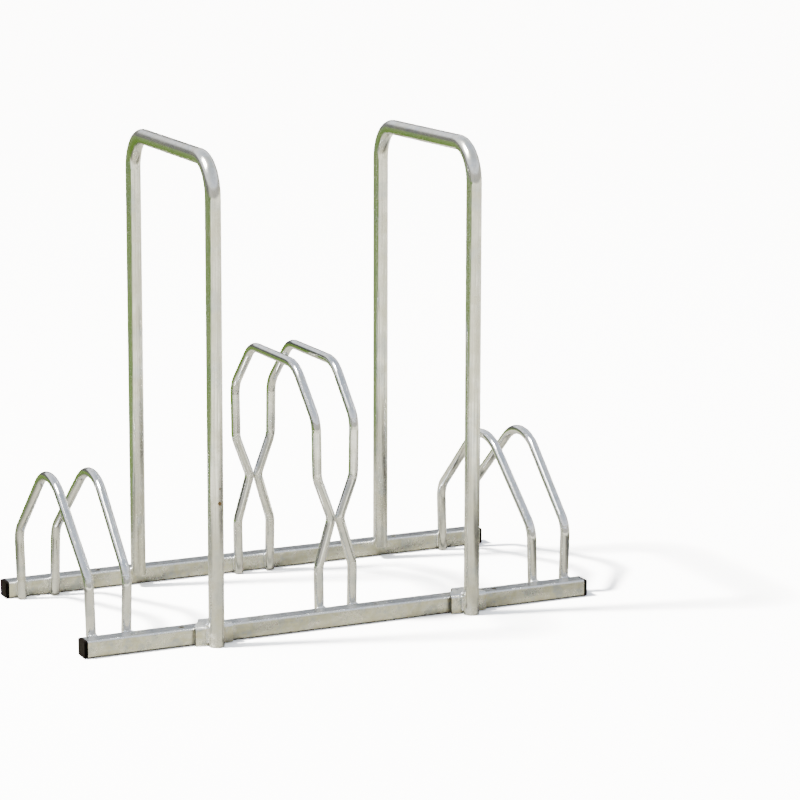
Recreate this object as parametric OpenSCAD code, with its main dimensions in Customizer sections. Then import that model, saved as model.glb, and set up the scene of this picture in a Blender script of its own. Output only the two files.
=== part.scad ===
// Floor bike rack: two long rails, six bent wheel hoops in three pairs, and two tall lean bars
// that hook over the front rail and are welded to the rear rail. Sizes are in millimetres.
// The origin is on the floor, in the middle of the four floor anchor holes. +X runs along the
// rails, +Y toward the rear rail, +Z up.

/* [Rails] */
// length of one rail without its end caps
rail_length = 1040; // [980:5:1400]
// size of a rail from front to rear
rail_depth = 36; // [30:1:45]
// size of a rail upward from the floor
rail_height = 33; // [28:1:45]
// wall thickness of a rail
rail_wall = 2; // [1.5:0.25:3]
// outer radius of the four long edges of a rail
rail_corner = 4; // [3:0.5:6]
// distance between the middle lines of the two rails
rail_spacing = 460; // [400:5:600]

/* [Floor anchors] */
// diameter of the anchor holes through both walls of a rail
anchor_hole = 11; // [8:0.5:14]
// distance along a rail between its two anchor holes
anchor_spacing = 657; // [600:1:720]

/* [End caps] */
// thickness of the part of a cap that stays outside the rail
cap_head = 7; // [3:0.5:8]
// how far the plug of a cap reaches into the rail
cap_plug = 18; // [12:1:30]
// wall thickness of the hollow plug
cap_wall = 2; // [1.5:0.25:3]
// thickness of one grip fin around the plug
cap_fin = 1.5; // [1:0.25:2.5]
// gap between the grip fins and the inside of the rail
cap_clearance = 0.3; // [0.1:0.05:0.6]

/* [Hoop tubes] */
// outer diameter of the hoop tubes
hoop_tube = 19; // [18:0.1:24]
// wall thickness of the hoop tubes
hoop_wall = 2; // [1.5:0.25:3]
// distance between the two hoops of a pair, middle to middle at the floor
pair_spacing = 68; // [60:1:80]
// distance from the end of a rail to the middle of the outer pair
pair_end_inset = 57; // [50:1:90]
// height of the open tube ends above the floor
hoop_foot_lift = 2; // [1:0.5:6]

/* [Low hoops] */
// height of a low hoop over its outside
low_height = 299; // [270:5:340]
// height of the bend between the upright leg and the slope
low_kink_height = 137; // [110:1:150]
// radius of that bend along the tube's middle line
low_kink_radius = 50; // [30:1:70]
// radius of the top bend along the tube's middle line
low_top_radius = 90; // [60:1:120]
// sideways lean of each low hoop, away from the other hoop of its pair
low_lean = 1.6; // [0.5:0.1:3]

/* [High hoops] */
// height of a high hoop over its outside
high_height = 499; // [470:5:560]
// height where the legs start to bend toward each other
pinch_start = 110; // [90:1:125]
// height where the legs of the pair stand closest
pinch_height = 203; // [190:1:215]
// height where the legs are upright again
pinch_end = 284; // [275:1:300]
// radius of the bend where the legs stand closest
pinch_radius = 30; // [20:1:50]
// radius of the bends above and below it
pinch_side_radius = 60; // [30:1:90]
// height of the corner between the upright leg and the shoulder
shoulder_height = 394; // [375:1:410]
// slope of the shoulder
shoulder_slope = 45; // [38:1:52]
// radius of the lower shoulder bend
shoulder_radius = 50; // [30:1:70]
// radius of the bend between the shoulder and the level top
high_top_radius = 70; // [40:1:90]
// sideways lean of each high hoop, away from the other hoop of its pair
high_lean = 0.8; // [0.2:0.1:2]

/* [Lean bars] */
// outer diameter of the lean bar tubes
bar_tube = 30; // [28:0.1:38]
// wall thickness of the lean bar tubes
bar_wall = 2.5; // [2:0.1:3.5]
// height of a lean bar over its outside
bar_height = 929; // [800:1:1050]
// radius of the two top bends along the tube's middle line
bar_bend_radius = 70; // [50:1:120]
// distance from the left end of the rails to the front leg of the left bar
left_bar_inset = 247; // [230:1:270]
// distance from the right end of the rails to the front leg of the right bar
right_bar_inset = 260; // [240:1:280]
// how much further right the rear leg of the left bar stands than its front leg
left_bar_skew = 19; // [2:1:24]
// how much further right the rear leg of the right bar stands than its front leg
right_bar_skew = 22; // [2:1:24]
// height of the open end of the rear legs above the floor
bar_rear_foot_lift = 25; // [15:1:28]
// how far the top of the right bar falls from its front bend to its rear bend
right_bar_fall = 9; // [1:0.5:14]

/* [Clips] */
// width of the upright plate of a clip
clip_width = 75; // [65:1:90]
// sheet thickness of a clip
clip_sheet = 4; // [3:0.5:5]
// gap between the wings of the plate and the rail
clip_stand_off = 5.5; // [4.5:0.25:7]
// height of the lower edge of a clip above the floor
clip_lift = 1; // [0.5:0.5:4]
// outer radius of the bend between the plate and the flap
clip_bend = 8; // [6:0.5:9]
// width of the flap where it ends behind the rail
clip_tip_width = 22; // [16:1:40]
// how far the flap reaches past the rail
clip_reach = 13; // [10:0.5:20]
// length of the turned-down lip below the flap
clip_lip = 10; // [9:0.5:14]

/* [Welds] */
// gap between two tubes or plates before they are welded
fit_gap = 0.3; // [0.2:0.05:0.5]
// bead radius of the hoop welds
hoop_weld = 3; // [2:0.25:3.5]
// bead radius of the lean bar welds
bar_weld = 4; // [3:0.25:5]
// height of a bead's middle over the joined faces, as a share of its radius
weld_sink_share = 0.4; // [0.3:0.05:0.5]

/* [Hidden] */
// overrun of every cutting body past the face it cuts
overrun = 1;

hoop_r = hoop_tube / 2;
hoop_bore_r = hoop_r - hoop_wall;
bar_r = bar_tube / 2;
bar_bore_r = bar_r - bar_wall;

// rails: middle lines at -rail_y and +rail_y
rail_y = rail_spacing / 2;
rail_inner_y = rail_y - rail_depth / 2;
rail_outer_y = rail_y + rail_depth / 2;
rail_bore_depth = rail_depth - 2 * rail_wall;
rail_bore_height = rail_height - 2 * rail_wall;
rail_bore_corner = rail_corner / 2;

// end caps: the fins fit the rail, the plug stands clear of it
fin_depth = rail_bore_depth - 2 * cap_clearance;
fin_height = rail_bore_height - 2 * cap_clearance;
plug_depth = fin_depth - cap_fin;
plug_height = fin_height - cap_fin;

// hoops: legs stand on the inner faces of the rails
hoop_leg_y = rail_inner_y - fit_gap - hoop_r;
outer_pair_x = rail_length / 2 - pair_end_inset;
pair_half = pair_spacing / 2;

// low hoop: slope angle that joins the two kinks with a round top at the wanted height
low_rise = low_height - hoop_r - low_kink_height;
low_reach = norm([hoop_leg_y, low_top_radius - low_rise]);
low_slope = asin(low_top_radius / low_reach) - atan2(low_top_radius - low_rise, hoop_leg_y);
low_peak = low_kink_height + hoop_leg_y * tan(low_slope);

// high hoop: how far each leg moves inward, so that the tubes all but touch at the pinch; the bend
// there cuts the corner of the path, so the corner lies a little further in
pinch_gap_at = pair_spacing + 2 * pinch_height * tan(high_lean);
pinch_reach = (pinch_gap_at - hoop_tube - fit_gap) / 2;
pinch_turn = atan2(pinch_reach, pinch_height - pinch_start) + atan2(pinch_reach, pinch_end - pinch_height);
pinch_shift = pinch_reach + pinch_radius * (1 / cos(pinch_turn / 2) - 1);
high_top_z = high_height - hoop_r;
shoulder_run = (high_top_z - shoulder_height) / tan(shoulder_slope);
pinch_end_turn = atan2(pinch_shift, pinch_end - pinch_height);
high_join_z = pinch_end + pinch_side_radius * tan(pinch_end_turn / 2);

// lean bars and clips: the front leg stands in front of a clip, the rear leg against its rail
bar_groove_r = bar_r + fit_gap;
bar_face_y = fit_gap + clip_sheet + bar_groove_r;
bar_front_y = -rail_outer_y - bar_face_y;
bar_rear_y = rail_inner_y - fit_gap - bar_r;
bar_leg_gap = bar_rear_y - bar_front_y;
bar_top_z = bar_height - bar_r;
left_bar_x = -rail_length / 2 + left_bar_inset;
right_bar_x = rail_length / 2 - right_bar_inset;
clip_plate_y = -clip_stand_off - clip_sheet;
clip_flap_z = rail_height + fit_gap;
clip_bend_z = clip_flap_z + clip_sheet - clip_bend;
clip_bend_y = clip_plate_y + clip_bend;
clip_end_y = rail_depth + clip_reach;

// how far a bend reaches into the straight pieces beside it, and how much thinner its wall is
seam_overlap = 0.5;
seam_step = 0.05;
// size of the drops at the ends of a bead, and of the bead across the top, beside its upright part
drop_share = 1.12;
top_share = 0.92;

// share of a cap head's thickness that is set in a little all round
cap_step_share = 0.2;
// number of grip fins around a plug
cap_fins = 2;

// fineness of round faces: small for rods and beads, large for long bends
round_fn = 48;
fine_fn = 96;

zinc = [0.72, 0.73, 0.71];
weld_grey = [0.82, 0.83, 0.84];
cap_black = [0.06, 0.06, 0.06];

// ---- flat outlines and bent tubes

// rectangle with four round corners, centred
module round_rect(w, h, r) {
    square([w - 2 * r, h], center = true);
    square([w, h - 2 * r], center = true);
    for (sx = [-1, 1]) {
        for (sy = [-1, 1]) {
            translate([sx * (w / 2 - r), sy * (h / 2 - r)]) circle(r = r, $fn = round_fn);
        }
    }
}

// pushes a flat outline drawn in Y and Z along X, centred
module along_x(len) {
    rotate([90, 0, 90]) linear_extrude(height = len, center = true) children();
}

// cross-section of a tube
module ring(r, bore) {
    difference() {
        circle(r = r, $fn = fine_fn);
        circle(r = bore, $fn = fine_fn);
    }
}

// direction from one point of a path to the next
function heading(a, b) = atan2(b[1] - a[1], b[0] - a[0]);

// turn at the middle one of three points, between -180 and 180
function bend_turn(a, b, c) = let (t = heading(b, c) - heading(a, b))
    t > 180 ? t - 360 : t < -180 ? t + 360 : t;

// length taken from each side of a corner by its bend
function bend_cut(p, radii, i) = i == 0 || i == len(p) - 1 ? 0 :
    radii[i] * tan(abs(bend_turn(p[i - 1], p[i], p[i + 1])) / 2);

// one straight piece of a tube along a flat path
module straight_piece(p, radii, i, r, bore) {
    start = bend_cut(p, radii, i);
    run = norm(p[i + 1] - p[i]) - start - bend_cut(p, radii, i + 1);
    translate([p[i][0], p[i][1], 0])
    rotate([0, 0, heading(p[i], p[i + 1])])
    translate([start, 0, 0])
    rotate([0, 90, 0])
    linear_extrude(height = run) ring(r, bore);
}

// one bend of a tube along a flat path; both its ends reach a little into the straight pieces,
// and its wall is a hair thinner, so that it sits inside theirs
module bend_piece(p, radii, i, r, bore) {
    turn = bend_turn(p[i - 1], p[i], p[i + 1]);
    side = turn > 0 ? 1 : -1;
    reach = seam_overlap / radii[i] * 180 / PI;
    translate([p[i][0], p[i][1], 0])
    rotate([0, 0, heading(p[i - 1], p[i])])
    translate([-bend_cut(p, radii, i), side * radii[i], 0])
    rotate([0, 0, (turn > 0 ? -90 : 90 + turn) - reach])
    rotate_extrude(angle = abs(turn) + 2 * reach, $fn = fine_fn)
    translate([radii[i], 0]) ring(r - seam_step, bore + seam_step);
}

// tube along a flat path in X and Y; open_end leaves out the last straight piece
module bent_tube(p, radii, r, bore, open_end = false) {
    for (i = [0 : len(p) - (open_end ? 3 : 2)]) {
        straight_piece(p, radii, i, r, bore);
    }
    for (i = [1 : len(p) - 2]) {
        bend_piece(p, radii, i, r, bore);
    }
}

// stands a flat path up: its X becomes Y and its Y becomes Z
module stand_along_y() {
    rotate([90, 0, 90]) children();
}

// stands a flat path up: its X stays X and its Y becomes Z
module stand_along_x() {
    rotate([90, 0, 0]) children();
}

// ---- rails and caps

// one rail with its two anchor holes, centred on its own middle line
module rail() {
    difference() {
        translate([0, 0, rail_height / 2])
        along_x(rail_length) round_rect(rail_depth, rail_height, rail_corner);
        translate([0, 0, rail_height / 2])
        along_x(rail_length + 2 * overrun)
        round_rect(rail_bore_depth, rail_bore_height, rail_bore_corner);
        for (s = [-1, 1]) {
            translate([s * anchor_spacing / 2, 0, -overrun])
            cylinder(d = anchor_hole, h = rail_height + 2 * overrun, $fn = round_fn);
        }
    }
}

module rail_front() {
    color(zinc) translate([0, -rail_y, 0]) rail();
}

module rail_rear() {
    color(zinc) translate([0, rail_y, 0]) rail();
}

// one end cap standing on the end of a rail that ends at X = 0; the plug points to -X
module end_cap() {
    translate([cap_head / 2, 0, rail_height / 2]) {
        along_x(cap_head)
        round_rect(rail_depth - cap_fin, rail_height - cap_fin, rail_corner - cap_fin / 2);
        translate([-cap_head * cap_step_share / 2, 0, 0])
        along_x(cap_head * (1 - cap_step_share))
        round_rect(rail_depth, rail_height, rail_corner);
    }
    translate([0, 0, rail_height / 2]) {
        difference() {
            translate([-cap_plug / 2, 0, 0])
            along_x(cap_plug) round_rect(plug_depth, plug_height, rail_bore_corner);
            translate([-cap_plug / 2 - overrun, 0, 0])
            along_x(cap_plug) round_rect(plug_depth - 2 * cap_wall, plug_height - 2 * cap_wall, cap_wall / 2);
        }
        for (i = [1 : cap_fins]) {
            translate([-cap_plug * i / (cap_fins + 1), 0, 0])
            difference() {
                along_x(cap_fin) round_rect(fin_depth, fin_height, rail_bore_corner);
                along_x(cap_fin + 2 * overrun)
                round_rect(plug_depth - cap_wall, plug_height - cap_wall, cap_wall / 2);
            }
        }
    }
}

module cap_front_left() {
    color(cap_black) translate([-rail_length / 2, -rail_y, 0]) mirror([1, 0, 0]) end_cap();
}

module cap_front_right() {
    color(cap_black) translate([rail_length / 2, -rail_y, 0]) end_cap();
}

module cap_rear_left() {
    color(cap_black) translate([-rail_length / 2, rail_y, 0]) mirror([1, 0, 0]) end_cap();
}

module cap_rear_right() {
    color(cap_black) translate([rail_length / 2, rail_y, 0]) end_cap();
}

// ---- hoops

// low hoop in its own upright plane at X = 0
module low_hoop() {
    stand_along_y()
    bent_tube(
        [
            [-hoop_leg_y, hoop_foot_lift],
            [-hoop_leg_y, low_kink_height],
            [0, low_peak],
            [hoop_leg_y, low_kink_height],
            [hoop_leg_y, hoop_foot_lift]
        ],
        [0, low_kink_radius, low_top_radius, low_kink_radius, 0],
        hoop_r, hoop_bore_r
    );
}

// one leg of a high hoop, drawn at X = 0; it bends toward +X at the pinch
module pinched_leg() {
    stand_along_x()
    bent_tube(
        [
            [0, hoop_foot_lift],
            [0, pinch_start],
            [pinch_shift, pinch_height],
            [0, pinch_end],
            [0, shoulder_height]
        ],
        [0, pinch_side_radius, pinch_radius, pinch_side_radius, 0],
        hoop_r, hoop_bore_r, true
    );
}

// high hoop at X = 0; both legs bend toward +X
module high_hoop() {
    for (s = [-1, 1]) {
        translate([0, s * hoop_leg_y, 0]) pinched_leg();
    }
    stand_along_y()
    bent_tube(
        [
            [-hoop_leg_y, high_join_z],
            [-hoop_leg_y, shoulder_height],
            [-hoop_leg_y + shoulder_run, high_top_z],
            [hoop_leg_y - shoulder_run, high_top_z],
            [hoop_leg_y, shoulder_height],
            [hoop_leg_y, high_join_z]
        ],
        [0, shoulder_radius, high_top_radius, high_top_radius, shoulder_radius, 0],
        hoop_r, hoop_bore_r
    );
}

// places a low hoop: pair_x is the middle of its pair, s = -1 its left place and 1 its right one
module place_low(pair_x, s) {
    translate([pair_x + s * pair_half, 0, 0]) rotate([0, s * low_lean, 0]) children();
}

// places a high hoop in the same way; the right one is the mirror image of the left one
module place_high(s) {
    translate([s * pair_half, 0, 0])
    rotate([0, s * high_lean, 0])
    mirror([s > 0 ? 1 : 0, 0, 0])
    children();
}

module low_hoop_left_outer() {
    color(zinc) place_low(-outer_pair_x, -1) low_hoop();
}

module low_hoop_left_inner() {
    color(zinc) place_low(-outer_pair_x, 1) low_hoop();
}

module high_hoop_left() {
    color(zinc) place_high(-1) high_hoop();
}

module high_hoop_right() {
    color(zinc) place_high(1) high_hoop();
}

module low_hoop_right_inner() {
    color(zinc) place_low(outer_pair_x, -1) low_hoop();
}

module low_hoop_right_outer() {
    color(zinc) place_low(outer_pair_x, 1) low_hoop();
}

// ---- lean bars

// lean bar with its front leg at X = 0, Y = 0; the rear leg stands behind it and skew further
// right, and the top falls toward it
module lean_bar(skew, fall) {
    bar_run = norm([bar_leg_gap, skew]);
    rotate([0, 0, -atan2(skew, bar_leg_gap)])
    stand_along_y()
    bent_tube(
        [
            [0, 0],
            [0, bar_top_z],
            [bar_run, bar_top_z - fall],
            [bar_run, bar_rear_foot_lift]
        ],
        [0, bar_bend_radius, bar_bend_radius, 0],
        bar_r, bar_bore_r
    );
}

module lean_bar_left() {
    color(zinc) translate([left_bar_x, bar_front_y, 0]) lean_bar(left_bar_skew, 0);
}

module lean_bar_right() {
    color(zinc) translate([right_bar_x, bar_front_y, 0]) lean_bar(right_bar_skew, right_bar_fall);
}

// ---- clips

// outline in Y and Z of a quarter bend of sheet, open toward -Y or +Y
module sheet_bend(s) {
    intersection() {
        difference() {
            circle(r = clip_bend, $fn = round_fn);
            circle(r = clip_bend - clip_sheet, $fn = round_fn);
        }
        translate([s < 0 ? -clip_bend : 0, 0]) square(clip_bend);
    }
}

// clip drawn for a rail whose front face is at Y = 0, with its tube at X = 0
module clip() {
    difference() {
        union() {
            // wings of the plate, standing clear of the rail
            translate([-clip_width / 2, clip_plate_y, clip_lift])
            cube([clip_width, clip_sheet, clip_bend_z - clip_lift]);
            // groove that follows the back of the tube and rests on the rail
            translate([0, 0, clip_lift])
            linear_extrude(height = clip_flap_z + clip_sheet / 2 - clip_lift)
            intersection() {
                translate([0, -bar_face_y]) circle(r = bar_groove_r + clip_sheet, $fn = fine_fn);
                translate([-clip_width / 2, clip_plate_y]) square([clip_width, -clip_plate_y]);
            }
            // bend over the front edge of the rail
            translate([0, clip_bend_y, clip_bend_z]) along_x(clip_width) sheet_bend(-1);
            // flap over the rail, narrower toward its tip
            translate([0, 0, clip_flap_z])
            linear_extrude(height = clip_sheet)
            polygon([
                [-clip_width / 2, clip_bend_y],
                [clip_width / 2, clip_bend_y],
                [clip_tip_width / 2, clip_end_y - clip_bend],
                [-clip_tip_width / 2, clip_end_y - clip_bend]
            ]);
            // lip turned down behind the rail
            translate([0, clip_end_y - clip_bend, clip_bend_z]) along_x(clip_tip_width) sheet_bend(1);
            translate([-clip_tip_width / 2, clip_end_y - clip_sheet, clip_flap_z + clip_sheet - clip_lip])
            cube([clip_tip_width, clip_sheet, clip_lip - clip_bend]);
        }
        translate([0, -bar_face_y, 0])
        cylinder(r = bar_groove_r, h = clip_flap_z + clip_sheet + overrun, $fn = fine_fn);
    }
}

// places a clip at its tube, on the outer face of the front rail
module place_front_clip(x) {
    translate([x, -rail_outer_y, 0]) children();
}

module clip_front_left() {
    color(zinc) place_front_clip(left_bar_x) clip();
}

module clip_front_right() {
    color(zinc) place_front_clip(right_bar_x) clip();
}

// ---- welds

// bead that climbs both sides of a tube of radius r and closes around its -Y side at the top;
// y is how far the upright beads stand from the tube's middle
module climbing_bead(r, w, y, bottom, side_top, crown_z) {
    ring_r = r + w * weld_sink_share;
    half = acos(y / ring_r);
    for (s = [-1, 1]) {
        translate([s * ring_r * sin(half), -y, 0]) {
            translate([0, 0, bottom]) cylinder(r = w, h = side_top - bottom, $fn = round_fn);
            for (z = [bottom, side_top, crown_z]) {
                translate([0, 0, z]) sphere(r = w * drop_share, $fn = round_fn);
            }
        }
    }
    translate([0, 0, crown_z])
    rotate([0, 0, -90 - half])
    rotate_extrude(angle = 2 * half, $fn = fine_fn)
    translate([ring_r, 0]) circle(r = w * top_share, $fn = round_fn);
}

// outline of a rail along the whole length, solid
module rail_block(y) {
    translate([0, y, rail_height / 2]) along_x(rail_length) round_rect(rail_depth, rail_height, rail_corner);
}

// weld of one hoop leg: x its place, lean its sideways lean, s = -1 for the front rail and 1 for the rear
module leg_weld(x, lean, s) {
    crown_z = rail_height - rail_corner / 2;
    difference() {
        translate([x, s * hoop_leg_y, 0])
        rotate([0, lean, 0])
        rotate([0, 0, s > 0 ? 180 : 0])
        climbing_bead(
            hoop_r, hoop_weld, hoop_r + fit_gap - hoop_weld * weld_sink_share,
            hoop_foot_lift + 2 * hoop_weld, crown_z - hoop_weld, crown_z
        );
        translate([x, s * hoop_leg_y, 0])
        rotate([0, lean, 0])
        translate([0, 0, -overrun])
        cylinder(r = hoop_r, h = pinch_start, $fn = fine_fn);
        rail_block(s * rail_y);
    }
}

module hoop_weld_row(s) {
    for (side = [-1, 1]) {
        for (pair_x = [-outer_pair_x, outer_pair_x]) {
            leg_weld(pair_x + side * pair_half, side * low_lean, s);
        }
        leg_weld(side * pair_half, side * high_lean, s);
    }
}

module hoop_welds_front() {
    color(weld_grey) hoop_weld_row(-1);
}

module hoop_welds_rear() {
    color(weld_grey) hoop_weld_row(1);
}

// beads between the front leg of a lean bar and its clip, drawn in the clip's own place
module clip_beads() {
    sink = bar_weld * weld_sink_share;
    difference() {
        translate([0, -bar_face_y, 0])
        mirror([0, 1, 0])
        climbing_bead(
            bar_r, bar_weld, bar_face_y + clip_plate_y - sink,
            2 * bar_weld, clip_flap_z, clip_flap_z + clip_sheet + sink
        );
        translate([0, -bar_face_y, -overrun]) cylinder(r = bar_r, h = bar_height, $fn = fine_fn);
        clip();
    }
}

// beads between the rear leg of a lean bar and the inner face of the rear rail: upright ones
// in the two grooves beside the tube, and one over the top edge of the rail behind it
module rear_leg_beads(x) {
    crown_z = rail_height - rail_corner / 2;
    rise = (crown_z - bar_rear_foot_lift) / 3;
    difference() {
        translate([x, bar_rear_y, 0])
        rotate([0, 0, 180])
        climbing_bead(
            bar_r, bar_weld, bar_r + fit_gap - bar_weld * weld_sink_share,
            crown_z - 2 * rise, crown_z - rise, crown_z
        );
        translate([x, bar_rear_y, -overrun]) cylinder(r = bar_r, h = bar_height, $fn = fine_fn);
        rail_block(rail_y);
    }
}

module bar_welds_left() {
    color(weld_grey) {
        place_front_clip(left_bar_x) clip_beads();
        rear_leg_beads(left_bar_x + left_bar_skew);
    }
}

module bar_welds_right() {
    color(weld_grey) {
        place_front_clip(right_bar_x) clip_beads();
        rear_leg_beads(right_bar_x + right_bar_skew);
    }
}

// ---- the assembly

rail_front();
rail_rear();
cap_front_left();
cap_front_right();
cap_rear_left();
cap_rear_right();
low_hoop_left_outer();
low_hoop_left_inner();
high_hoop_left();
high_hoop_right();
low_hoop_right_inner();
low_hoop_right_outer();
lean_bar_left();
lean_bar_right();
clip_front_left();
clip_front_right();
hoop_welds_front();
hoop_welds_rear();
bar_welds_left();
bar_welds_right();
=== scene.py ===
import math

import bpy
from mathutils import Matrix, Vector


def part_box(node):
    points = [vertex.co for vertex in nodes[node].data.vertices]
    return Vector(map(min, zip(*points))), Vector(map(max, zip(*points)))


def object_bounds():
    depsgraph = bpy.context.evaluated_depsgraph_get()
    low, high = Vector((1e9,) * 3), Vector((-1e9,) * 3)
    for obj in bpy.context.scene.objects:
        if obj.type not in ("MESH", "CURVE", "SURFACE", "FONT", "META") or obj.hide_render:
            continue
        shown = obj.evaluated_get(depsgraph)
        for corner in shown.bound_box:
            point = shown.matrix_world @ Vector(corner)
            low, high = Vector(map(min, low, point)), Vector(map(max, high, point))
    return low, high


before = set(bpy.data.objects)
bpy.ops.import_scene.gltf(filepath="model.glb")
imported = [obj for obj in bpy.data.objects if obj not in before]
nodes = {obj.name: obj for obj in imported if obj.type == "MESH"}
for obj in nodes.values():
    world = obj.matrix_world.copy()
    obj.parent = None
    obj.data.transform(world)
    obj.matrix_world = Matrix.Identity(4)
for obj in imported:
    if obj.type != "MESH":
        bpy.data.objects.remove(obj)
cad_low, cad_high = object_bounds()


# The two rails. Each is a rectangular steel tube on the floor, punched for two anchor bolts and
# dipped in molten zinc with the rest of the rack. The zinc has dulled to a mottled yellow grey on
# the sides. The tops are glossier, with a painted blue sky reflection, and the long edges carry a painted
# highlight.

def feed(tree, socket, value):
    """Gives a socket its input: another node's output, or a plain value."""
    if isinstance(value, bpy.types.NodeSocket):
        tree.links.new(value, socket)
    else:
        socket.default_value = value


def new_finish(name, slot_name):
    """An empty material with a shader, and the tree to wire it in."""
    material = bpy.data.materials.new(name)
    material.use_nodes = True
    tree = material.node_tree
    tree.nodes.clear()
    shader = tree.nodes.new("ShaderNodeBsdfPrincipled")
    output = tree.nodes.new("ShaderNodeOutputMaterial")
    tree.links.new(shader.outputs["BSDF"], output.inputs["Surface"])
    material["slot"] = slot_name
    return material, tree, shader


def new_group(name, inputs, outputs):
    """A node group: inputs are (kind, name, value) and outputs are (kind, name)."""
    group = bpy.data.node_groups.new(name, "ShaderNodeTree")
    for kind, label, value in inputs:
        socket = group.interface.new_socket(label, in_out="INPUT", socket_type=kind)
        if value is not None:
            socket.default_value = value
    for kind, label in outputs:
        group.interface.new_socket(label, in_out="OUTPUT", socket_type=kind)
    return group, group.nodes.new("NodeGroupInput"), group.nodes.new("NodeGroupOutput")


def place_group(tree, group, **values):
    """Puts a node group in a material and sets its inputs."""
    node = tree.nodes.new("ShaderNodeGroup")
    node.node_tree = group
    for label, value in values.items():
        feed(tree, node.inputs[label.replace("_", " ")], value)
    return node


def sum_up(tree, operation, first, second=None, third=None, clamp=False):
    """One maths node on outputs or numbers."""
    node = tree.nodes.new("ShaderNodeMath")
    node.operation = operation
    node.use_clamp = clamp
    for socket, value in zip(node.inputs, (first, second, third)):
        if value is not None:
            feed(tree, socket, value)
    return node.outputs[0]


def scaled(tree, value, factor):
    """A value times a factor."""
    return sum_up(tree, "MULTIPLY", value, factor)


def shade_around_one(tree, pattern, depth):
    """Turns a pattern between 0 and 1 into a shade that varies around 1."""
    return sum_up(tree, "MULTIPLY_ADD", sum_up(tree, "SUBTRACT", pattern, 0.5), depth, 1.0)


def blend_colours(tree, share, first, second):
    """Mixes two colours by a share; on a mix node, inputs 6 and 7 are the colours."""
    node = tree.nodes.new("ShaderNodeMix")
    node.data_type = "RGBA"
    for index, value in ((0, share), (6, first), (7, second)):
        feed(tree, node.inputs[index], value)
    return node.outputs[2]


def ramp_between(tree, value, low, high):
    """0 below low, 1 above high, and a soft rise between them."""
    node = tree.nodes.new("ShaderNodeMapRange")
    node.interpolation_type = "SMOOTHSTEP"
    tree.links.new(value, node.inputs["Value"])
    node.inputs["From Min"].default_value = low
    node.inputs["From Max"].default_value = high
    return node.outputs["Result"]


def noise(tree, vector, per_metre, detail=4.0, roughness=0.55, distortion=0.0):
    """Cloudy noise with so many clouds in a metre."""
    node = tree.nodes.new("ShaderNodeTexNoise")
    tree.links.new(vector, node.inputs["Vector"])
    node.inputs["Detail"].default_value = detail
    node.inputs["Roughness"].default_value = roughness
    node.inputs["Distortion"].default_value = distortion
    feed(tree, node.inputs["Scale"], per_metre)
    return node.outputs["Fac"]


def stretch(tree, vector, scale):
    """The same place on the piece, measured with a ruler of its own along X, Y and Z."""
    node = tree.nodes.new("ShaderNodeMapping")
    node.inputs["Scale"].default_value = scale
    tree.links.new(vector, node.inputs["Vector"])
    return node.outputs["Vector"]


def split(tree, vector):
    """The X, Y and Z of a place or a direction."""
    node = tree.nodes.new("ShaderNodeSeparateXYZ")
    tree.links.new(vector, node.inputs[0])
    return node.outputs


def object_place(tree):
    """Where a point is on the rack, in metres."""
    return tree.nodes.new("ShaderNodeTexCoord").outputs["Object"]


def surface_slope(tree):
    """Which way the surface faces, as X, Y and Z."""
    return split(tree, tree.nodes.new("ShaderNodeTexCoord").outputs["Normal"])


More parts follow.
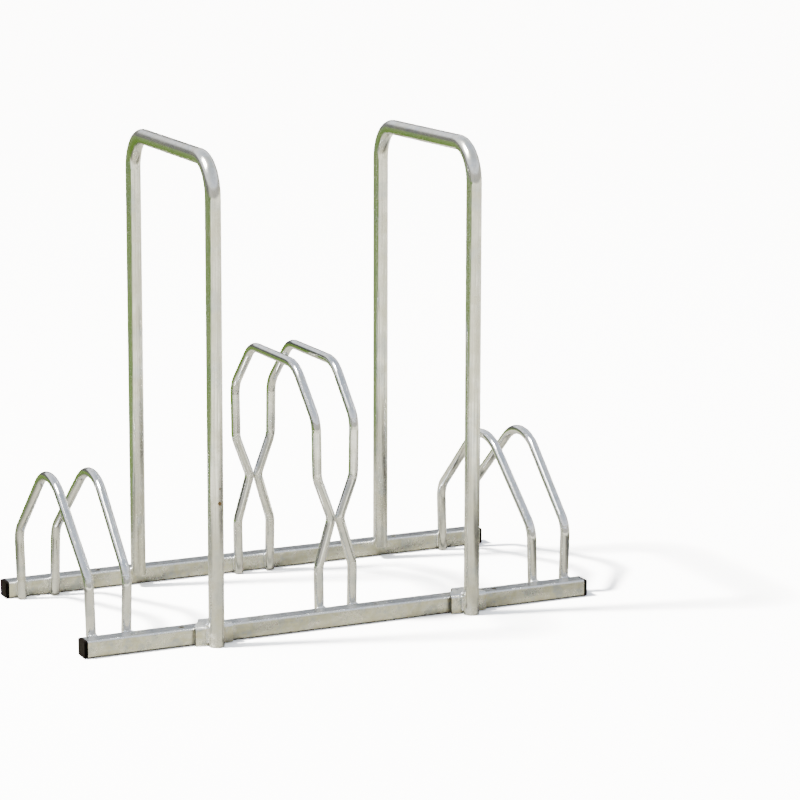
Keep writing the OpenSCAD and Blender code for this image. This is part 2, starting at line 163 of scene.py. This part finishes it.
def make_zinc_skin():
    """Dipped zinc: crystals of slightly different greys, clouds of dull patina, and a fine grain."""
    group, given, result = new_group(
        "zinc skin",
        [
            ("NodeSocketVector", "Place", None),
            ("NodeSocketColor", "Fresh Zinc", (0.7, 0.7, 0.7, 1)),
            ("NodeSocketColor", "Dull Zinc", (0.5, 0.5, 0.48, 1)),
            ("NodeSocketColor", "Blue Zinc", (0.5, 0.53, 0.55, 1)),
            ("NodeSocketFloat", "Crystals Per Metre", 140.0),
            ("NodeSocketFloat", "Clouds Per Metre", 14.0),
            ("NodeSocketFloat", "Dullness", 0.5),
            ("NodeSocketFloat", "Crystal Contrast", 0.12),
            ("NodeSocketFloat", "Gloss Roughness", 0.32),
            ("NodeSocketFloat", "Dull Roughness", 0.55),
        ],
        [
            ("NodeSocketColor", "Colour"),
            ("NodeSocketFloat", "Roughness"),
            ("NodeSocketFloat", "Height"),
        ],
    )
    place = given.outputs["Place"]
    clouds_per_metre = given.outputs["Clouds Per Metre"]

    # crystals, pulled out of shape so that their borders aren't straight
    bends_per_metre = 90.0
    pull = 0.008
    wander = group.nodes.new("ShaderNodeTexNoise")
    wander.inputs["Scale"].default_value = bends_per_metre
    group.links.new(place, wander.inputs["Vector"])
    pulled = group.nodes.new("ShaderNodeVectorMath")
    pulled.operation = "MULTIPLY_ADD"
    group.links.new(wander.outputs["Color"], pulled.inputs[0])
    pulled.inputs[1].default_value = (pull, pull, pull)
    group.links.new(place, pulled.inputs[2])
    crystals = group.nodes.new("ShaderNodeTexVoronoi")
    group.links.new(pulled.outputs[0], crystals.inputs["Vector"])
    group.links.new(given.outputs["Crystals Per Metre"], crystals.inputs["Scale"])
    crystal_greys = group.nodes.new("ShaderNodeSeparateColor")
    group.links.new(crystals.outputs["Color"], crystal_greys.inputs[0])
    crystal_shade = shade_around_one(group, crystal_greys.outputs[0], given.outputs["Crystal Contrast"])

    # clouds of patina, more of them where the zinc is duller
    dull_clouds = noise(group, place, clouds_per_metre, detail=7.0, roughness=0.62, distortion=0.4)
    extra_dullness = sum_up(group, "SUBTRACT", given.outputs["Dullness"], 0.5)
    dull_share = ramp_between(group, sum_up(group, "ADD", dull_clouds, extra_dullness), low=0.4, high=0.62)

    # fewer clouds of a cold blue grey, taken from another part of the noise
    another_part = (3.7, 1.9, 5.3)
    elsewhere = group.nodes.new("ShaderNodeVectorMath")
    elsewhere.operation = "ADD"
    group.links.new(place, elsewhere.inputs[0])
    elsewhere.inputs[1].default_value = another_part
    cold_clouds = noise(group, elsewhere.outputs[0], clouds_per_metre, detail=5.0, roughness=0.6)
    cold_share = ramp_between(group, cold_clouds, low=0.5, high=0.66)
    patina = blend_colours(group, dull_share, given.outputs["Fresh Zinc"], given.outputs["Dull Zinc"])
    patina = blend_colours(group, cold_share, patina, given.outputs["Blue Zinc"])

    # fine grain of the frozen zinc
    grain_contrast = 0.14
    grain = noise(group, place, per_metre=900.0, detail=3.0)
    shade = sum_up(group, "MULTIPLY", crystal_shade, shade_around_one(group, grain, grain_contrast))
    shaded = group.nodes.new("ShaderNodeVectorMath")
    shaded.operation = "SCALE"
    group.links.new(patina, shaded.inputs[0])
    group.links.new(shade, shaded.inputs["Scale"])
    group.links.new(shaded.outputs[0], result.inputs["Colour"])

    # a crystal is a little glossier or duller than the next
    gloss_spread = 0.03
    gloss = sum_up(group, "MULTIPLY_ADD", crystal_greys.outputs[1], gloss_spread, -gloss_spread / 2)
    rough = group.nodes.new("ShaderNodeMix")
    group.links.new(dull_share, rough.inputs[0])
    group.links.new(given.outputs["Gloss Roughness"], rough.inputs[2])
    group.links.new(given.outputs["Dull Roughness"], rough.inputs[3])
    group.links.new(sum_up(group, "ADD", rough.outputs[0], gloss, clamp=True), result.inputs["Roughness"])

    # the skin is slightly uneven, with crystal borders a hair lower
    border_depth = -0.2
    grain_height = 0.1
    waves = noise(group, place, per_metre=45.0, detail=2.0)
    rippled = sum_up(group, "MULTIPLY_ADD", grain, grain_height, waves)
    height = sum_up(group, "MULTIPLY_ADD", crystals.outputs["Distance"], border_depth, rippled)
    group.links.new(height, result.inputs["Height"])
    return group


def make_long_streaks():
    """Drawing lines and dried drips along a tube or rail: 1 on a line and 0 between the lines."""
    group, given, result = new_group(
        "long streaks",
        [
            ("NodeSocketVector", "Place", None),
            ("NodeSocketFloat", "Lines Per Metre", 400.0),
        ],
        [("NodeSocketFloat", "Streak")],
    )
    lines_per_metre = given.outputs["Lines Per Metre"]
    lines = noise(group, given.outputs["Place"], lines_per_metre, detail=3.0, roughness=0.6)
    group.links.new(ramp_between(group, lines, low=0.35, high=0.68), result.inputs["Streak"])
    return group


def make_splash_dirt():
    """Dirt that rain splashes up: full at the floor, gone at the given height, broken by noise."""
    group, given, result = new_group(
        "splash dirt",
        [
            ("NodeSocketVector", "Place", None),
            ("NodeSocketFloat", "Reach", 0.05),
            ("NodeSocketFloat", "Strength", 0.5),
        ],
        [("NodeSocketFloat", "Dirt")],
    )
    place = given.outputs["Place"]
    rise = sum_up(group, "DIVIDE", split(group, place)["Z"], given.outputs["Reach"], clamp=True)
    spots = noise(group, place, per_metre=85.0, detail=5.0, roughness=0.7)
    patches = ramp_between(group, spots, low=0.38, high=0.66)
    splashed = sum_up(group, "MULTIPLY", sum_up(group, "SUBTRACT", 1.0, rise), patches)
    dirt = sum_up(group, "MULTIPLY", splashed, given.outputs["Strength"], clamp=True)
    group.links.new(dirt, result.inputs["Dirt"])
    return group


def make_long_edges():
    """1 on the rounded long edges of a rail or clip and 0 on its flat faces, from the surface's slope."""
    group, given, result = new_group(
        "long edges",
        [("NodeSocketFloat", "Strength", 1.0)],
        [("NodeSocketFloat", "Edge")],
    )
    slope = surface_slope(group)
    slanting = sum_up(group, "ABSOLUTE", sum_up(group, "MULTIPLY", slope["Y"], slope["Z"]))
    rounded = ramp_between(group, slanting, low=0.12, high=0.45)
    edge = sum_up(group, "MULTIPLY", rounded, given.outputs["Strength"], clamp=True)
    group.links.new(edge, result.inputs["Edge"])
    return group


zinc_skin = make_zinc_skin()
long_streaks = make_long_streaks()
splash_dirt = make_splash_dirt()
long_edges = make_long_edges()


def draw_lines(tree, place, colour, ruler, lines_per_metre, share, line_colour):
    """Lays drawing lines over a colour; the ruler makes them long one way and thin the others."""
    ruled = stretch(tree, place, ruler)
    streaks = place_group(tree, long_streaks, Place=ruled, Lines_Per_Metre=lines_per_metre)
    return blend_colours(tree, scaled(tree, streaks.outputs[0], share), colour, line_colour)


def coat(tree, shader, colour, roughness, metallic, height, depth):
    """Wires a finish; its height becomes fine relief, depth metres deep."""
    feed(tree, shader.inputs["Base Color"], colour)
    feed(tree, shader.inputs["Roughness"], roughness)
    feed(tree, shader.inputs["Metallic"], metallic)
    bump = tree.nodes.new("ShaderNodeBump")
    bump.inputs["Strength"].default_value = 1.0
    bump.inputs["Distance"].default_value = depth
    tree.links.new(height, bump.inputs["Height"])
    tree.links.new(bump.outputs["Normal"], shader.inputs["Normal"])


def wear_finish(material, *node_names):
    """Gives CAD pieces their finish."""
    for node_name in node_names:
        piece = nodes[node_name]
        for slot in piece.material_slots:
            slot.material = material
        if not piece.material_slots:
            piece.data.materials.append(material)


def make_rail_zinc():
    material, tree, shader = new_finish("rail zinc", "zinc_rail")
    place = object_place(tree)
    skin = place_group(
        tree, zinc_skin, Place=place,
        Fresh_Zinc=(0.86, 0.86, 0.78, 1), Dull_Zinc=(0.74, 0.73, 0.58, 1), Blue_Zinc=(0.62, 0.65, 0.64, 1),
        Crystals_Per_Metre=130.0, Clouds_Per_Metre=34.0, Dullness=0.5, Crystal_Contrast=0.1,
        Gloss_Roughness=0.27, Dull_Roughness=0.37,
    )
    lined = draw_lines(tree, place, skin.outputs["Colour"], ruler=(0.03, 1, 1), lines_per_metre=330.0,
                       share=0.18, line_colour=(0.46, 0.46, 0.42, 1))
    dirt_brown = (0.42, 0.38, 0.24, 1)
    dirt = place_group(tree, splash_dirt, Place=place, Reach=0.012, Strength=0.35)
    soiled = blend_colours(tree, dirt.outputs[0], lined, dirt_brown)
    # painted sky reflection: the top is painted bluer than the sides, and it is also made glossier
    sky_reflection_blue = (0.47, 0.5, 0.55, 1)
    sky_reflection_share = 0.75
    upward = ramp_between(tree, surface_slope(tree)["Z"], low=0.6, high=0.95)
    sky_reflected = blend_colours(tree, scaled(tree, upward, sky_reflection_share), soiled, sky_reflection_blue)
    # painted highlight: the long rounded edges are painted near white where they catch the light, and made
    # a little glossier
    edge_highlight_white = (0.95, 0.95, 0.92, 1)
    edges = place_group(tree, long_edges, Strength=0.75)
    edges_highlighted = blend_colours(tree, edges.outputs[0], sky_reflected, edge_highlight_white)
    edge_polish = scaled(tree, edges.outputs[0], 0.1)
    top_polish = scaled(tree, upward, 0.17)
    polish = sum_up(tree, "MAXIMUM", edge_polish, top_polish)
    roughness = sum_up(tree, "SUBTRACT", skin.outputs["Roughness"], polish)
    coat(tree, shader, edges_highlighted, roughness, metallic=0.96, height=skin.outputs["Height"], depth=0.00025)
    return material


wear_finish(make_rail_zinc(), "rail_front", "rail_rear")


# The four end caps. Each is a black plastic plug pushed into the open end of a rail, with a flat
# head that shows. The head has the fine grain of its mould and faint brown scuffs.

def make_cap_plastic():
    material, tree, shader = new_finish("cap plastic", "cap_plastic")
    place = object_place(tree)
    black = (0.002, 0.001, 0.0004, 1)
    scuff_brown = (0.014, 0.008, 0.001, 1)
    scuff_share = 0.3
    plain_roughness = 0.5
    extra_roughness = 0.2
    grain = noise(tree, place, per_metre=1600.0, detail=2.0)
    scuff_clouds = noise(tree, place, per_metre=240.0, detail=6.0, roughness=0.7)
    scuffs = ramp_between(tree, scuff_clouds, low=0.56, high=0.74)
    scuffed = blend_colours(tree, scaled(tree, scuffs, scuff_share), black, scuff_brown)
    roughness = sum_up(tree, "MULTIPLY_ADD", scuffs, extra_roughness, plain_roughness)
    shader.inputs["Specular IOR Level"].default_value = 0.04
    coat(tree, shader, scuffed, roughness, metallic=0.0, height=grain, depth=0.00006)
    return material


wear_finish(make_cap_plastic(), "cap_front_left", "cap_front_right", "cap_rear_left", "cap_rear_right")


# The six hoops that hold a front wheel: a low pair at each end and a high pair in the middle,
# whose legs squeeze together above the floor. They are thin steel pipe, bent cold and then dipped,
# so the zinc is bright and even, with creases where the pipe turns that carry a painted highlight.

def make_creases(tree, place):
    """1 on the creases that cold bending leaves across a hoop's legs, at the heights where they turn."""
    high_bends = (0.110, 0.203, 0.284, 0.394)
    low_bends = (0.137,)
    high_pair_reach = 0.2
    crease_half = 0.009
    waver = 0.024
    at = split(tree, place)
    level = sum_up(tree, "MULTIPLY_ADD", noise(tree, place, per_metre=60.0, detail=3.0), waver, at["Z"])
    in_middle = sum_up(tree, "LESS_THAN", sum_up(tree, "ABSOLUTE", at["X"]), high_pair_reach)
    at_ends = sum_up(tree, "SUBTRACT", 1.0, in_middle)
    creases = 0.0
    for bends, on_these in ((high_bends, in_middle), (low_bends, at_ends)):
        for bend_height in bends:
            away = sum_up(tree, "ABSOLUTE", sum_up(tree, "SUBTRACT", level, bend_height + waver / 2))
            fading = sum_up(tree, "DIVIDE", away, crease_half)
            crease = sum_up(tree, "SUBTRACT", on_these, fading, clamp=True)
            creases = sum_up(tree, "MAXIMUM", crease, creases)
    patches = ramp_between(tree, noise(tree, place, per_metre=130.0, detail=3.0), low=0.42, high=0.6)
    return sum_up(tree, "MULTIPLY", creases, patches)


def make_hoop_zinc():
    material, tree, shader = new_finish("hoop zinc", "zinc_tube")
    place = object_place(tree)
    skin = place_group(
        tree, zinc_skin, Place=place,
        Fresh_Zinc=(0.92, 0.92, 0.91, 1), Dull_Zinc=(0.8, 0.8, 0.74, 1), Blue_Zinc=(0.76, 0.79, 0.81, 1),
        Crystals_Per_Metre=220.0, Clouds_Per_Metre=40.0, Dullness=0.42, Crystal_Contrast=0.05,
        Gloss_Roughness=0.07, Dull_Roughness=0.14,
    )
    lined = draw_lines(tree, place, skin.outputs["Colour"], ruler=(1, 1, 0.05), lines_per_metre=420.0,
                       share=0.12, line_colour=(0.5, 0.5, 0.46, 1))
    # painted highlight: the creases are painted near white, besides being raised a little in relief
    crease_highlight_white = (0.98, 0.98, 0.97, 1)
    crease_highlight_share = 0.55
    crease_height = 6.0
    creases = make_creases(tree, place)
    creased_and_highlighted = blend_colours(tree, scaled(tree, creases, crease_highlight_share), lined, crease_highlight_white)
    relief = sum_up(tree, "MULTIPLY_ADD", creases, crease_height, skin.outputs["Height"])
    coat(tree, shader, creased_and_highlighted, skin.outputs["Roughness"], metallic=0.98, height=relief, depth=0.00006)
    return material


wear_finish(
    make_hoop_zinc(),
    "low_hoop_left_outer", "low_hoop_left_inner", "high_hoop_left", "high_hoop_right",
    "low_hoop_right_inner", "low_hoop_right_outer",
)


# The two lean bars that a bicycle's frame rests against. Each is one length of thicker pipe, bent
# twice, with open ends. The zinc on the legs is matte and faintly lined, and the left bar has two
# small rust spots where something has chipped it.

def make_rust_chip():
    """A chip in the zinc that rusts: 1 in the middle of the chip, ragged at its rim."""
    group, given, result = new_group(
        "rust chip",
        [
            ("NodeSocketVector", "Place", None),
            ("NodeSocketVector", "Middle", None),
            ("NodeSocketFloat", "Size", 0.005),
        ],
        [("NodeSocketFloat", "Rust")],
    )
    place = given.outputs["Place"]
    middle_weight = 0.8
    rim = 0.001
    away = group.nodes.new("ShaderNodeVectorMath")
    away.operation = "DISTANCE"
    group.links.new(place, away.inputs[0])
    group.links.new(given.outputs["Middle"], away.inputs[1])
    outward = sum_up(group, "DIVIDE", away.outputs["Value"], given.outputs["Size"], clamp=True)
    near = sum_up(group, "SUBTRACT", 1.0, outward)
    rags = sum_up(group, "SUBTRACT", noise(group, place, per_metre=420.0, detail=4.0, roughness=0.7), 0.5)
    ragged = sum_up(group, "ADD", scaled(group, near, middle_weight), rags)
    rust = ramp_between(group, ragged, low=0.3, high=0.42)
    inside = sum_up(group, "GREATER_THAN", near, rim)
    group.links.new(sum_up(group, "MULTIPLY", rust, inside), result.inputs["Rust"])
    return group


rust_chip = make_rust_chip()


def make_bar_zinc():
    material, tree, shader = new_finish("bar zinc", "zinc_tube")
    place = object_place(tree)
    skin = place_group(
        tree, zinc_skin, Place=place,
        Fresh_Zinc=(0.88, 0.88, 0.84, 1), Dull_Zinc=(0.76, 0.75, 0.66, 1), Blue_Zinc=(0.72, 0.75, 0.76, 1),
        Crystals_Per_Metre=170.0, Clouds_Per_Metre=22.0, Dullness=0.5, Crystal_Contrast=0.05,
        Gloss_Roughness=0.1, Dull_Roughness=0.22,
    )
    lined = draw_lines(tree, place, skin.outputs["Colour"], ruler=(1, 1, 0.04), lines_per_metre=360.0,
                       share=0.2, line_colour=(0.5, 0.5, 0.44, 1))
    # white crust at the feet that stand on the floor, the front ones
    crust_white = (0.86, 0.85, 0.76, 1)
    crust_dullness = 0.6
    splashed = place_group(tree, splash_dirt, Place=place, Reach=0.045, Strength=1.0)
    in_front = sum_up(tree, "LESS_THAN", split(tree, place)["Y"], 0.0)
    crust = sum_up(tree, "MULTIPLY", splashed.outputs[0], in_front)
    footed = blend_colours(tree, crust, lined, crust_white)
    # the left bar's front leg has two rust spots, a little right of its front: a larger one, and a
    # smaller one above it
    rust_brown = (0.16, 0.1, 0.035, 1)
    rust_roughness = 0.9
    larger_spot = {"height": 0.276, "degrees_round": 10.8, "size": 0.0075}
    smaller_spot = {"height": 0.304, "degrees_round": 13.5, "size": 0.0032}
    tube_radius = 0.015
    bar_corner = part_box("lean_bar_left")[0]
    leg_x = bar_corner.x + tube_radius
    leg_y = bar_corner.y + tube_radius
    rust = 0.0
    for spot in (larger_spot, smaller_spot):
        turn = math.radians(spot["degrees_round"])
        spot_x = leg_x + tube_radius * math.sin(turn)
        spot_y = leg_y - tube_radius * math.cos(turn)
        middle = (spot_x, spot_y, spot["height"])
        chip = place_group(tree, rust_chip, Place=place, Middle=middle, Size=spot["size"])
        rust = sum_up(tree, "MAXIMUM", chip.outputs[0], rust)
    rusted = blend_colours(tree, rust, footed, rust_brown)
    roughness = sum_up(tree, "MAXIMUM", skin.outputs["Roughness"], scaled(tree, rust, rust_roughness))
    # neither rust nor crust is metal
    bare_metal = 0.96
    covered = sum_up(tree, "MAXIMUM", rust, scaled(tree, crust, crust_dullness))
    metallic = sum_up(tree, "MULTIPLY_ADD", covered, -bare_metal, bare_metal)
    coat(tree, shader, rusted, roughness, metallic, height=skin.outputs["Height"], depth=0.00005)
    return material


wear_finish(make_bar_zinc(), "lean_bar_left", "lean_bar_right")


# The two hook clips behind the lean bars' front legs. Each is a piece of sheet steel bent over the
# front rail: a plate in front of it that carries the leg, a flap over its top, and a lip behind.

def make_clip_zinc():
    material, tree, shader = new_finish("clip zinc", "zinc_clip")
    place = object_place(tree)
    skin = place_group(
        tree, zinc_skin, Place=place,
        Fresh_Zinc=(0.88, 0.88, 0.8, 1), Dull_Zinc=(0.74, 0.72, 0.56, 1), Blue_Zinc=(0.56, 0.6, 0.6, 1),
        Crystals_Per_Metre=160.0, Clouds_Per_Metre=45.0, Dullness=0.5, Crystal_Contrast=0.1,
        Gloss_Roughness=0.26, Dull_Roughness=0.42,
    )
    # painted highlight: the bent long edges are painted near white where they catch the light, and made a
    # little glossier
    edge_highlight_white = (0.96, 0.96, 0.93, 1)
    edges = place_group(tree, long_edges, Strength=0.8)
    bright = blend_colours(tree, edges.outputs[0], skin.outputs["Colour"], edge_highlight_white)
    slope = surface_slope(tree)
    # painted sky reflection: the flap, which faces up, is painted bluer than the plate
    sky_reflection_blue = (0.5, 0.53, 0.57, 1)
    sky_reflection_share = 0.6
    upward = ramp_between(tree, slope["Z"], low=0.8, high=0.98)
    sky_reflected = blend_colours(tree, scaled(tree, upward, sky_reflection_share), bright, sky_reflection_blue)
    # painted shade: the side edges, which face sideways, are painted near black as if in shadow
    side_shade_black = (0.02, 0.017, 0.012, 1)
    side_shade_share = 0.93
    sideways = ramp_between(tree, sum_up(tree, "ABSOLUTE", slope["X"]), low=0.9, high=0.98)
    side_shaded = blend_colours(tree, scaled(tree, sideways, side_shade_share), sky_reflected, side_shade_black)
    edge_polish = scaled(tree, edges.outputs[0], 0.14)
    roughness = sum_up(tree, "SUBTRACT", skin.outputs["Roughness"], edge_polish)
    coat(tree, shader, side_shaded, roughness, metallic=0.93, height=skin.outputs["Height"], depth=0.00025)
    return material


wear_finish(make_clip_zinc(), "clip_front_left", "clip_front_right")


# The weld beads. Six join the hoops' legs to each rail, and each lean bar has one at its clip and
# one at the rear rail. They were laid by hand before the dip, so the zinc lies thick and bright
# over their ripples.

def make_weld_zinc():
    material, tree, shader = new_finish("weld zinc", "weld_metal")
    place = object_place(tree)
    skin = place_group(
        tree, zinc_skin, Place=place,
        Fresh_Zinc=(0.94, 0.94, 0.93, 1), Dull_Zinc=(0.8, 0.8, 0.78, 1), Blue_Zinc=(0.74, 0.77, 0.79, 1),
        Crystals_Per_Metre=400.0, Clouds_Per_Metre=90.0, Dullness=0.4, Crystal_Contrast=0.1,
        Gloss_Roughness=0.14, Dull_Roughness=0.26,
    )
    ripples = noise(tree, place, per_metre=420.0, detail=3.0)
    coat(tree, shader, skin.outputs["Colour"], skin.outputs["Roughness"],
         metallic=0.95, height=ripples, depth=0.0012)
    return material


wear_finish(make_weld_zinc(), "hoop_welds_front", "hoop_welds_rear", "bar_welds_left", "bar_welds_right")


# Where the rack stands and how it is seen: a wide pale floor, a soft sun and its glow from the
# upper left, a cool sky, and a camera in front of the left end, as in the photo.

def along(tree, vector, direction):
    """How far a place or a direction goes along another direction."""
    node = tree.nodes.new("ShaderNodeVectorMath")
    node.operation = "DOT_PRODUCT"
    tree.links.new(vector, node.inputs[0])
    node.inputs[1].default_value = direction
    return node.outputs["Value"]


def seen_by_camera(tree, others_see, camera_sees):
    """One colour for the camera and another for the light that reaches the rack."""
    seen = tree.nodes.new("ShaderNodeLightPath").outputs["Is Camera Ray"]
    return blend_colours(tree, seen, others_see, camera_sees)


def make_ground_colour(tree, place):
    """What the metal reflects: light paving in front of the rack, and grass behind its left end."""
    light_paving = (0.36, 0.355, 0.31, 1)
    dark_paving = (0.16, 0.16, 0.13, 1)
    near_paving = (0.16, 0.157, 0.13, 1)
    shaded_paving = (0.03, 0.03, 0.026, 1)
    grass = (0.022, 0.042, 0.004, 1)
    to_back_left = (-0.71, 0.71, 0)
    across_view = (0.91, -0.42, 0)

    # the grass begins along a ragged line
    raggedness = 1.2
    patches = noise(tree, place, per_metre=0.9, detail=3.0)
    back_left = sum_up(tree, "SUBTRACT", along(tree, place, to_back_left), raggedness / 2)
    ragged_line = sum_up(tree, "MULTIPLY_ADD", patches, raggedness, back_left)
    grass_share = ramp_between(tree, ragged_line, low=0.6, high=1.3)
    dark_share = ramp_between(tree, patches, low=0.42, high=0.58)
    paving = blend_colours(tree, dark_share, light_paving, dark_paving)

    # close to the rack the paving is darker, most of all beside its ends
    outward = tree.nodes.new("ShaderNodeVectorMath")
    outward.operation = "LENGTH"
    tree.links.new(place, outward.inputs[0])
    far_off = ramp_between(tree, outward.outputs["Value"], low=1.0, high=1.9)
    sideways = sum_up(tree, "ABSOLUTE", along(tree, place, across_view))
    beside = ramp_between(tree, sideways, low=0.5, high=0.85)
    close_by = blend_colours(tree, beside, near_paving, shaded_paving)
    return blend_colours(tree, grass_share, blend_colours(tree, far_off, close_by, paving), grass)


def make_floor():
    """A wide floor just under the rack: pale for the camera, paving and grass for the metal."""
    reach = 40.0
    under_rack = 0.0005
    floor_white = (2.0, 2.0, 2.0, 1)
    corners = [(-reach, -reach, 0), (reach, -reach, 0), (reach, reach, 0), (-reach, reach, 0)]
    mesh = bpy.data.meshes.new("studio_floor")
    mesh.from_pydata(corners, [], [(0, 1, 2, 3)])
    floor = bpy.data.objects.new("studio_floor", mesh)
    bpy.context.scene.collection.objects.link(floor)
    material = bpy.data.materials.new("pale floor")
    material.use_nodes = True
    tree = material.node_tree
    tree.nodes.clear()
    ground = make_ground_colour(tree, object_place(tree))
    paint = tree.nodes.new("ShaderNodeBsdfDiffuse")
    tree.links.new(seen_by_camera(tree, ground, floor_white), paint.inputs["Color"])
    output = tree.nodes.new("ShaderNodeOutputMaterial")
    tree.links.new(paint.outputs[0], output.inputs["Surface"])
    mesh.materials.append(material)
    floor.location.z = cad_low.z - under_rack


def make_sky():
    """A cool soft sky over a low dark line that is deepest behind the rack; white for the camera."""
    line_in_front = (0.6, 0.59, 0.54, 1)
    line_behind = (0.04, 0.048, 0.035, 1)
    low_sky = (1.1, 1.13, 1.2, 1)
    high_sky = (0.6, 0.67, 0.8, 1)
    backdrop_white = (16.0, 16.0, 16.0, 1)
    to_back = (-0.5, 0.87, 0)
    world = bpy.data.worlds.new("studio")
    bpy.context.scene.world = world
    world.use_nodes = True
    tree = world.node_tree
    tree.nodes.clear()
    way = tree.nodes.new("ShaderNodeTexCoord").outputs["Generated"]
    upward = split(tree, way)["Z"]
    back_share = ramp_between(tree, along(tree, way, to_back), low=0.0, high=0.5)
    low_line = blend_colours(tree, back_share, line_in_front, line_behind)
    sky = blend_colours(tree, ramp_between(tree, upward, low=0.3, high=0.95), low_sky, high_sky)
    room = blend_colours(tree, ramp_between(tree, upward, low=0.2, high=0.38), low_line, sky)
    background = tree.nodes.new("ShaderNodeBackground")
    tree.links.new(seen_by_camera(tree, room, backdrop_white), background.inputs["Color"])
    output = tree.nodes.new("ShaderNodeOutputWorld")
    tree.links.new(background.outputs[0], output.inputs["Surface"])


def hang_lamp(name, kind, at, towards, energy, colour):
    """Hangs a lamp and turns it to face a point."""
    lamp = bpy.data.lights.new(name, kind)
    lamp.energy = energy
    lamp.color = colour
    holder = bpy.data.objects.new(name, lamp)
    bpy.context.scene.collection.objects.link(holder)
    holder.location = at
    holder.rotation_mode = "QUATERNION"
    holder.rotation_quaternion = (Vector(towards) - holder.location).to_track_quat("-Z", "Y")
    return lamp


def hang_sun():
    sun = hang_lamp(
        "soft_sun", "SUN",
        at=(-3.0, 0.85, 4.57), towards=(0, 0, 0), energy=20.0, colour=(1.0, 0.97, 0.92),
    )
    sun.angle = math.radians(6.0)


def hang_glow():
    width = 2.3
    glow = hang_lamp(
        "sun_glow", "AREA",
        at=(-3.2, 0.9, 4.9), towards=(0, 0, 0.4), energy=300.0, colour=(1.0, 0.98, 0.94),
    )
    glow.shape = "RECTANGLE"
    glow.size = width
    glow.size_y = width


def set_camera():
    """The photo's view, found from the rails' corners and the tubes: a long lens, 10 degrees down."""
    stand = (-2.3338, -5.3889, 1.6095)
    turn, tilt = 0.4315, 0.1777
    film_width = 36.0
    # the rest of the lens is measured in dots of a picture 800 wide
    picture_width = 800.0
    focal_length = 3053.85
    shift_right = 38.97
    shift_up = -80.0
    camera_data = bpy.data.cameras.new("photo_camera")
    camera = bpy.data.objects.new("photo_camera", camera_data)
    bpy.context.scene.collection.objects.link(camera)
    level = Vector((math.sin(turn), math.cos(turn), 0))
    right = Vector((math.cos(turn), -math.sin(turn), 0))
    forward = level * math.cos(tilt) + Vector((0, 0, -math.sin(tilt)))
    upward = level * math.sin(tilt) + Vector((0, 0, math.cos(tilt)))
    camera.matrix_world = Matrix((
        (right.x, upward.x, -forward.x, stand[0]),
        (right.y, upward.y, -forward.y, stand[1]),
        (right.z, upward.z, -forward.z, stand[2]),
        (0, 0, 0, 1),
    ))
    camera_data.sensor_width = film_width
    camera_data.lens = focal_length * film_width / picture_width
    camera_data.shift_x = shift_right / picture_width
    camera_data.shift_y = shift_up / picture_width
    camera_data.clip_end = 200.0
    bpy.context.scene.camera = camera


make_floor()
make_sky()
hang_sun()
hang_glow()
set_camera()
